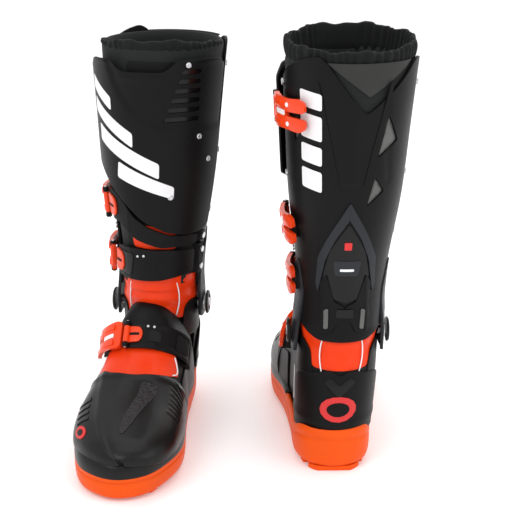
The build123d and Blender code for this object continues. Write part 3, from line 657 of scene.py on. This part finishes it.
def lever(name, body, form, end, near, low, high, growth):
    """A moulded lever: a bowed plate with a waist and a notched hook end, two side ribs, a centre groove,
    two white dots and a white plate.
    """
    span, mid = near - end, (low + high) / 2
    half = (high - low) / 2
    outline = [(end, mid - half * 0.78), (end + span * 0.12, low + 0.5),
        (end + span * 0.42, low + half * 0.12), (end + span * 0.62, low + half * 0.10),
        (near - span * 0.12, low), (near, low + half * 0.12), (near, high - half * 0.12),
        (near - span * 0.12, high), (end + span * 0.62, high - half * 0.10),
        (end + span * 0.42, high - half * 0.12), (end + span * 0.12, high - 0.5),
        (end, mid + half * 0.78), (end, mid + half * 0.17), (end + span * 0.44, mid + half * 0.13),
        (end + span * 0.44, mid - half * 0.13), (end, mid - half * 0.17)]

    def relief(u, v):
        t = (u - end) / span
        off = abs(v - mid) / half
        bow = 0.9 * math.sin(math.pi * min(1, max(0, t)))
        lobe = 0.9 * math.exp(-((off - 0.55) / 0.28) ** 2) * (t < 0.8)
        return bow + lobe - 1.2 * (off < 0.22) * (t > 0.44) * (t < 0.84)

    short = name.replace("_lever", "")
    panel(f"{short}_lever", outline, form, growth, ORANGE, body, corner=3.5, thick=4.2, bevel=1.0,
        step=2.2, relief=relief, replaces=[body])
    for which, offset in (("upper", 0.55), ("lower", -0.55)):
        rib = [(end + span * 0.52, mid + half * (offset - 0.16)),
            (end + span * 0.84, mid + half * (offset - 0.18)),
            (end + span * 0.84, mid + half * (offset + 0.18)),
            (end + span * 0.52, mid + half * (offset + 0.16))]
        panel(f"{short}_lever_rib_{which}", rib, form, growth + 2.2, ORANGE, body, corner=1.8, thick=1.6,
            bevel=0.6, step=2.2)
        spot = (end + span * 0.36, mid + half * offset)
        spin(f"{short}_lever_dot_{which}", form(*spot, growth + 1.6),
            form(*spot, growth + 5) - form(*spot, growth), [(-0.5, 2.3), (0.6, 2.3), (1.0, 1.7)], WHITE,
            body, sides=18)
    plate = [(end + span * 0.48, mid - half * 0.15), (end + span * 0.80, mid - half * 0.15),
        (end + span * 0.80, mid + half * 0.15), (end + span * 0.48, mid + half * 0.15)]
    panel(f"{short}_lever_plate", plate, form, growth + 0.3, WHITE, body, corner=1.0, thick=1.0,
        bevel=0.3, step=2.2)


def barrel(name, joint, low, high, radius, material_used, body, replaces=()):
    """A cylinder about a hinge, between two distances along it from its middle, on both boots."""
    for side in SIDES:
        hinge = JOINTS[f"{side}_{joint}_swing"]
        back = PLACE[side].inverted()
        centre = back @ Vector(hinge["pos_m"])
        tip = back @ (Vector(hinge["pos_m"]) + Vector(hinge["axis"]) * MM)
        axis = (tip - centre).normalized()
        profile = [(low, radius - 0.5), (low + 0.5, radius), (high - 0.5, radius), (high, radius - 0.5)]
        spin(name, centre, axis, profile, material_used, body, only=(side,), replaces=replaces)


# ---- cuff ---------------------------------------------------------------------------------------
def make_liner():
    """The padded cloth tube inside the cuff, open at both ends, and the gathered collar above it."""
    count, rows = 120, []
    outer = [(163 + 249 * k / 40, -0.7) for k in range(41)]
    rim = [(414, -1.2), (416.5, -2.6), (417.5, -4.2), (416.5, -6.0), (413, -7.4)]
    inner = [(410 - 245 * k / 30, -8.2) for k in range(31)]
    for height, growth in outer + rim + inner:
        rows.append([leg(360 * i / count, height, growth + 0.35 * math.sin(height / 9.0 + i * 0.21))
            for i in range(count)])
    verts, faces = grid_surface(rows + [rows[0]], closed=True)
    pads = both("liner", verts, faces, CLOTH, "cuff", ["cuff_liner"])
    for side, drop, lean in (("right", 15.0, 8.0), ("left", 0.0, 5.0)):
        make_collar(side, drop, lean)


def make_collar(side, drop, lean):
    """The gathered elastic collar, with a smooth flap; it sits lower on the right boot."""
    count, rows = 240, []
    profile = [(408, -3.0), (413, -2.4), (420, -1.2), (426, -0.8), (431, -1.2), (434.5, -2.4),
        (436, -4.2), (434.5, -5.8), (428, -6.6), (420, -7.0), (409, -7.4)]
    for height, growth in profile:
        row = []
        for i in range(count):
            angle = 360 * i / count
            turn = math.radians(angle)
            strength = 0.12 if 58 < angle < 98 else 1.0
            pleat = math.sin(turn * 48 + 2.6 * math.sin(turn * 5) + 0.8 * math.sin(turn * 13))
            wave = math.sin(turn * 7 + 0.6) + 0.6 * math.sin(turn * 17)
            lift = max(0.0, (height - 412) / 22)
            rise = (lean * math.sin(turn) - lean * 0.4 - drop + 1.1 * wave) * lift
            bulge = strength * pleat * (0.5 + lift) + 0.4 * wave * lift
            row.append(leg(angle, height + rise, growth + bulge))
        rows.append(row)
    verts, faces = grid_surface(rows + [rows[0]], closed=True)
    both("gaiter_collar", verts, faces, GAITER, "cuff", ["gaiter"], only=(side,))


def make_rear_shell():
    """The rear shell with its notch and windows, its raised plates and its hinge arms."""
    outline = [(16, 152), (18, 206), (8, 262), (-3, 330), (-6, 396), (-20, 409), (-44, 420), (-58, 424),
        (-66, 418), (-90, 382), (-99, 371), (-103, 371), (-118, 384), (-136, 401), (-150, 415),
        (-160, 419), (-172, 416), (-180, 402), (-178, 330), (-188, 262), (-198, 206), (-196, 152),
        (-180, 150), (-150, 142), (-124, 135), (-56, 135), (-30, 142), (0, 150)]
    windows = [
        [(-123, 367), (-136, 342), (-114, 327)],
        [(-113, 308), (-124, 293), (-106, 279)],
        [(-26, 358), (-44, 358), (-30, 338)],
    ]

    def relief(u, v):
        spine = 1.1 * math.exp(-((u + 90) / 7.0) ** 2) * (v > 300)
        crease = -0.8 * math.exp(-((abs(u + 90) - 26 - (405 - v) * 0.12) / 2.5) ** 2) * (v > 300)
        lip = 0.9 * math.exp(-((v - 139) / 3.0) ** 2)
        return spine + crease + lip

    panel("calf_shell", outline, leg, 3.2, BLACK, "cuff", holes=windows, corner=5, thick=2.8, bevel=1.0,
        step=3.6, relief=relief, replaces=["calf_shell"])
    for number, window in enumerate(windows):
        panel(f"window_{number}", window, leg, 1.2, WINDOW, "cuff", corner=0, thick=0.8, bevel=0, step=4)
    panel("notch_insert", [(-65, 418), (-148, 418), (-103, 386)], leg, 1.0, LEATHER, "cuff", corner=2,
        thick=1.4, bevel=0.6, step=4)
    for side_name, sign in (("outer", 1), ("inner", -1)):
        wing = [(0, 284), (8, 270), (22, 246), (34, 224), (38, 196), (35, 186), (31, 200), (25, 222),
            (13, 246), (0, 266)]
        wing = [(-90 + sign * off, height) for off, height in wing]
        panel(f"achilles_wing_{side_name}", wing, leg, 5.4, SLATE, "cuff", corner=2, thick=2.4, bevel=1.0,
            step=2.6, replaces=["achilles_plate"] if sign > 0 else ())
        foot_of_it = [(24, 206), (33, 196), (30, 176), (38, 150), (30, 143), (16, 145), (8, 156),
            (0, 158), (0, 172), (14, 178)]
        foot_of_it = [(-90 + sign * off, height) for off, height in foot_of_it]
        panel(f"achilles_foot_{side_name}", foot_of_it, leg, 5.0, BLACK, "cuff", corner=3, thick=2.2,
            bevel=0.9, step=2.6,
            relief=lambda u, v: 0.8 * math.exp(-((abs(u + 90) - 30 + (v - 150) * 0.1) / 2.5) ** 2))
        slot = [(20, 149), (25.5, 148), (26, 168), (20.5, 170)]
        panel(f"rear_slot_{side_name}", [(-90 + sign * off, height) for off, height in slot], leg, 6.3,
            WINDOW, "cuff", corner=2, thick=1.2, bevel=0.4, step=2.6)
        crease = [(31, 400), (35, 400), (15, 300), (11, 300)]
        panel(f"rear_crease_{side_name}", [(-90 + sign * off, height) for off, height in crease], leg,
            3.9, BLACK, "cuff", corner=1.5, thick=1.2, bevel=0.6, step=4)
    field = [(-90, 262), (-82, 250), (-70, 232), (-62, 208), (-60, 184), (-76, 180), (-90, 176),
        (-104, 180), (-120, 184), (-118, 208), (-110, 232), (-98, 250)]
    panel("achilles_field", field, leg, 4.2, TOE, "cuff", corner=3, thick=1.6, bevel=0.6, step=3.4)
    label = [(-104, 206), (-76, 206), (-74, 222), (-106, 222)]
    panel("achilles_label", label, leg, 4.9, SLATE, "cuff", corner=2.5, thick=0.9, bevel=0.3, step=3)
    panel("achilles_dash", [(-98, 211), (-82, 211), (-82, 213.5), (-98, 213.5)], leg, 5.3, WHITE, "cuff",
        corner=0.8, thick=0.7, bevel=0.2, step=3)
    panel("achilles_tick", [(-94, 234), (-86, 234), (-86, 242), (-94, 242)], leg, 4.7, RED, "cuff",
        corner=1.0, thick=0.8, bevel=0.2, step=3)
    clip = [(-101, 161), (-79, 161), (-80, 170), (-100, 170)]
    panel("rear_clip", clip, leg, 6.2, GLOSS, "cuff", corner=2, thick=1.8, bevel=0.7, step=3)
    for side_name, sign in (("outer", 1), ("inner", -1)):
        middle = -90 + sign * 90
        arm = [(middle - sign * 16, 112), (middle + sign * 16, 112), (middle + sign * 17, 146),
            (middle + sign * 6, 196), (middle - sign * 18, 214), (middle - sign * 30, 178),
            (middle - sign * 22, 146)]

        def arm_relief(u, v, middle=middle):
            near = max(0.0, min(1.0, (172 - v) / 40))
            return 3.0 * near * near * (3 - 2 * near) + 0.9 * math.exp(-((u - middle) / 5) ** 2) * (v > 150)

        panel(f"hinge_arm_{side_name}", arm, leg, 4.6, SLATE, "cuff", corner=8, thick=3.4, bevel=1.1,
            step=3.0, relief=arm_relief)
    guard = [(148, 224), (170, 224), (176, 300), (178, 396), (160, 396), (152, 330), (146, 262)]
    panel("inner_grip", guard, leg, 2.6, GRIP, "cuff", corner=4, thick=2.0, bevel=0.6, step=3.4,
        replaces=["inner_guard"])
    edge = [leg(163 + 6 * math.sin((v - 224) / 40), v, 3.1) for v in range(232, 392, 6)]
    tube("grip_edge", edge, 0.8, WINDOW, "cuff")


def make_cuff_front():
    """The soft front of the cuff between the straps."""
    upper = [(62, 206), (122, 204), (126, 216), (112, 226), (92, 230), (70, 232), (60, 224)]
    panel("front_panel_upper", upper, leg, 1.0, ORANGE_SOFT, "cuff", corner=5, thick=1.6, bevel=0.7, step=3)
    lower = [(44, 158), (132, 158), (132, 184), (44, 184)]
    panel("front_panel_lower", lower, leg, 0.8, ORANGE_SOFT, "cuff", corner=4, thick=1.6, bevel=0.6, step=3)
    tongue = [(50, 182), (130, 182), (128, 300), (112, 404), (66, 404), (50, 300)]
    panel("tongue", tongue, leg, 0.1, MATTE, "cuff", corner=4, thick=1.2, bevel=0.5, step=5)


def make_strap(name, body, band_low, band_high, outline):
    """A leg strap with a raised cross rib and a moulded arrow."""
    middle = (band_low + band_high) / 2

    def relief(u, v):
        chevron = 0.9 * math.exp(-((u - 92 - abs(v - middle) * 0.9) / 2.2) ** 2) * (abs(v - middle) < 13)
        return chevron + 0.5 * math.exp(-((u - 60) / 2.0) ** 2)

    panel(f"{name}_strap", outline, leg, 6.2, MATTE if name == "upper" else BLACK, body, corner=4,
        thick=2.2, bevel=0.8, step=2.6, relief=relief, replaces=[f"{name}_strap"])


def make_straps():
    """The two leg straps and the lower, upper and top levers, with every lever's barrel and the bases of all
    but the top one.
    """
    lower = [(34, 172), (60, 171), (100, 172), (146, 177), (146, 201), (110, 205), (60, 206), (34, 204)]
    make_strap("lower", "lower_strap", 171, 204, lower)
    panel("lower_strap_pad", [(40, 178), (62, 176), (66, 200), (42, 200)], leg, 7.2, GLOSS, "lower_strap",
        corner=4, thick=1.0, bevel=0.5, step=3)
    upper = [(26, 230), (46, 231), (70, 216), (100, 208), (149, 207), (149, 217), (112, 221), (86, 230),
        (68, 240), (56, 254), (44, 262), (26, 262)]
    make_strap("upper", "upper_strap", 229, 262, upper)
    for number, (u, v) in enumerate(((72, 198), (80, 199))):
        spin(f"strap_dot_{number}", leg(u, v, 6.2), leg(u, v, 10) - leg(u, v, 5),
            [(-0.5, 1.5), (1.0, 1.5), (1.4, 1.0)], STEEL, "lower_strap")
    for name, end, near, low, high in (("lower", -20, 27, 171, 204), ("upper", -30, 19, 229, 262),
        ("top", -50, -3, 349, 383)):
        lever(name, f"{name}_lever", leg, end, near, low, high, 12.2)
    for name, body, half in (("lower", "lower_strap", 16.5), ("upper", "upper_strap", 16.5),
        ("top", "shin_plate", 16)):
        barrel(f"{name}_ear_low", f"{name}_lever", -half, -half + 5, 3.2, MATTE, body)
        barrel(f"{name}_ear_high", f"{name}_lever", half - 5, half, 3.2, MATTE, body)
        barrel(f"{name}_knuckle", f"{name}_lever", -half + 5.4, half - 5.4, 3.2, ORANGE, f"{name}_lever")
    for name, spot, form in (("lower", (33, 50, 177, 200), leg), ("upper", (25, 43, 235, 258), leg),
                             ("instep", (70, 92, -10, 9), instep)):
        u0, u1, v0, v1 = spot
        base = [(u0, v0), (u1 - 4, v0 + 1), (u1, v0 + 6), (u1, v1 - 6), (u1 - 4, v1 - 1), (u0, v1)]
        panel(f"{name}_lever_base", base, form, 8.6, ORANGE, f"{name}_strap", corner=3, thick=2.4,
            bevel=1.0, step=2.4)
        groove = [(u0 + 3, (v0 + v1) / 2 - 1.4), (u1 - 4, (v0 + v1) / 2 - 1.4),
            (u1 - 4, (v0 + v1) / 2 + 1.4), (u0 + 3, (v0 + v1) / 2 + 1.4)]
        panel(f"{name}_lever_groove", groove, form, 9.0, MATTE, f"{name}_strap", corner=0.8, thick=0.8,
            bevel=0.2, step=2.4)
    barrel("instep_ear_low", "instep_lever", -14.5, -9.5, 3.2, BLACK, "instep_strap")
    barrel("instep_ear_high", "instep_lever", 9.5, 14.5, 3.2, BLACK, "instep_strap")
    barrel("instep_knuckle", "instep_lever", -9.1, 9.1, 3.2, ORANGE, "instep_lever")


def make_shin_plate():
    """The shin plate with its raised overlay, vents, trim line, screws, teeth and slanted stripes."""
    outline = [(159, 226), (150, 222), (128, 221), (106, 226), (82, 238), (48, 268), (28, 286), (12, 294),
        (12, 350), (12, 392), (30, 404), (52, 406), (58, 398), (64, 394), (100, 394), (107, 399),
        (112, 406), (140, 406), (156, 404), (161, 392), (160, 300)]

    def relief(u, v):
        border = 333 + 72 * math.exp(-(u - 49) / 20)
        ridge = 1.7 / (1 + math.exp(min(40.0, (v - border) / 1.1)))
        lip = 0.8 * math.exp(-((v - 403) / 2.4) ** 2)
        scoop = 0.9 * math.exp(-((v - 388) / 2.0) ** 2) * (60 < u < 104)
        return ridge + lip + scoop - 0.6

    vents = [[(101 + 3 * k, 343 + 9.6 * k), (134, 343 + 9.6 * k), (134, 348 + 9.6 * k),
        (102.5 + 3 * k, 348 + 9.6 * k)] for k in range(6)]
    panel("shin_plate", outline, leg, 9.6, BLACK, "shin_plate", holes=vents, corner=4, thick=2.6,
        bevel=0.9, step=2.8, relief=relief, replaces=["shin_plate"])
    panel("vent_backing", [(96, 338), (140, 338), (140, 400), (112, 400)], leg, 7.2, GLOSS, "shin_plate",
        corner=2, thick=0.8, bevel=0, step=5)
    trim = [(52, 268), (83, 242), (106, 230), (128, 225), (150, 226)]
    path = []
    for (u0, v0), (u1, v1) in zip(trim, trim[1:]):
        path += [leg(u0 + (u1 - u0) * k / 6, v0 + (v1 - v0) * k / 6, 10.0) for k in range(6)]
    tube("shin_trim", path, 0.45, WINDOW, "shin_plate")
    stripes = [
        [(22, 372), (52, 352), (52, 366), (24, 386)],
        [(24, 348), (74, 316), (74, 331), (25, 363)],
        [(32, 318), (98, 284), (98, 300), (32, 336)],
        [(56, 283), (112, 262), (112, 275), (58, 300)],
    ]
    for number, stripe in enumerate(stripes):
        panel(f"shin_stripe_{number}", stripe, leg, 10.9, WHITE, "shin_plate", corner=2.5, thick=0.5,
            bevel=0.15, step=3)
    for number, (u, v) in enumerate(((121, 401), (134, 326), (109, 264), (146, 300))):
        spin(f"shin_screw_{number}", leg(u, v, 9.8), leg(u, v, 12) - leg(u, v, 5),
            [(-0.5, 3.0), (1.2, 3.0), (1.9, 2.2), (1.9, 1.3), (1.0, 1.2)], STEEL, "shin_plate", sides=20)
    teeth = [[(14, 300 + 9 * k), (22, 303 + 9 * k), (14, 306 + 9 * k)] for k in range(9)]
    for number, tooth in enumerate(teeth):
        panel(f"shin_tooth_{number}", tooth, leg, 10.6, BLACK, "shin_plate", corner=0.8, thick=1.4,
            bevel=0.4, step=4)
    pad = [(24, 292), (150, 287), (150, 392), (24, 392)]
    pads = panel("shin_foam", pad, leg, 6.9, CLOTH, "shin_plate", corner=5, thick=2.6, bevel=1.2, step=4,
        replaces=["shin_pad"])


def make_rear_print():
    """Plain white stripes on the rear shell and beside the heel."""
    for number, (low, high) in enumerate(((292, 312), (318, 336), (342, 366), (372, 388))):
        stripe = [(-62, low), (-40, low + 4), (-40, high + 4), (-62, high)]
        panel(f"rear_stripe_{number}", stripe, leg, 4.2, WHITE, "cuff", corner=2.5, thick=0.5, bevel=0.15,
            step=3)
    panel("cuff_stripe", [(-2, 60), (8, 60), (8, 92), (-2, 92)], leg, 3.2, WHITE, "foot", corner=2,
        thick=0.5, bevel=0.15, step=3)


# ---- the scene ----------------------------------------------------------------------------------
make_sole()
make_foot()
make_ankle_sides()
make_gusset()
make_instep()
make_liner()
make_rear_shell()
make_cuff_front()
make_straps()
make_shin_plate()
make_rear_print()
finish_node(["instep_pin", "lower_pin", "upper_pin", "top_pin", "ankle_bolts", "cuff_screws",
    "sole_screws"], STEEL)
finish_node(["sole_insert"], INSERT)
finish_node(["footbed"], FOAM)
finish_node(["instep_mounts", "strap_mounts"], MATTE)


def make_stage():
    """A plain pale floor and soft lights."""
    bpy.ops.mesh.primitive_plane_add(size=30.0)
    floor = bpy.context.object
    floor.name = "floor"
    paint = bpy.data.materials.new("floor_paint")
    paint.use_nodes = True
    inputs = paint.node_tree.nodes["Principled BSDF"].inputs
    inputs["Base Color"].default_value = (0.95, 0.95, 0.95, 1)
    inputs["Emission Color"].default_value = (1, 1, 1, 1)
    inputs["Emission Strength"].default_value = 0.13
    inputs["Roughness"].default_value = 0.55
    floor.data.materials.append(paint)
    world = bpy.data.worlds.new("studio")
    bpy.context.scene.world = world
    world.use_nodes = True
    background = world.node_tree.nodes["Background"]
    background.inputs["Color"].default_value = (1.0, 1.0, 1.0, 1)
    background.inputs["Strength"].default_value = 0.92
    aim = Vector((0, 0, 0.2))
    for name, spot, size, power in (("key", (-1.1, -1.5, 1.9), 1.2, 15),
        ("fill", (1.6, -1.2, 1.2), 1.4, 8), ("top", (0.0, 0.3, 2.2), 1.6, 9),
        ("back", (0.6, 1.8, 1.4), 1.2, 6)):
        lamp = bpy.data.lights.new(name, "AREA")
        lamp.size = size
        lamp.energy = power
        obj = bpy.data.objects.new(name, lamp)
        obj.location = spot
        obj.rotation_euler = (aim - Vector(spot)).to_track_quat("-Z", "Y").to_euler()
        bpy.context.scene.collection.objects.link(obj)
    bpy.context.scene.view_settings.view_transform = "Standard"


def make_camera():
    """The camera, ahead of the pair and a little above its middle."""
    centre_x, centre_y, aim_height = 0.0157, -0.0006, 0.189
    distance, elevation = 1.450, math.radians(17.57)
    data = bpy.data.cameras.new("camera")
    data.sensor_width = 36.0
    data.lens = 94.1
    camera = bpy.data.objects.new("camera", data)
    bpy.context.scene.collection.objects.link(camera)
    camera.location = (centre_x, centre_y - distance * math.cos(elevation),
        aim_height + distance * math.sin(elevation))
    way = Vector((centre_x, centre_y, aim_height)) - camera.location
    camera.rotation_euler = way.to_track_quat("-Z", "Y").to_euler()
    bpy.context.scene.camera = camera


make_stage()
make_camera()
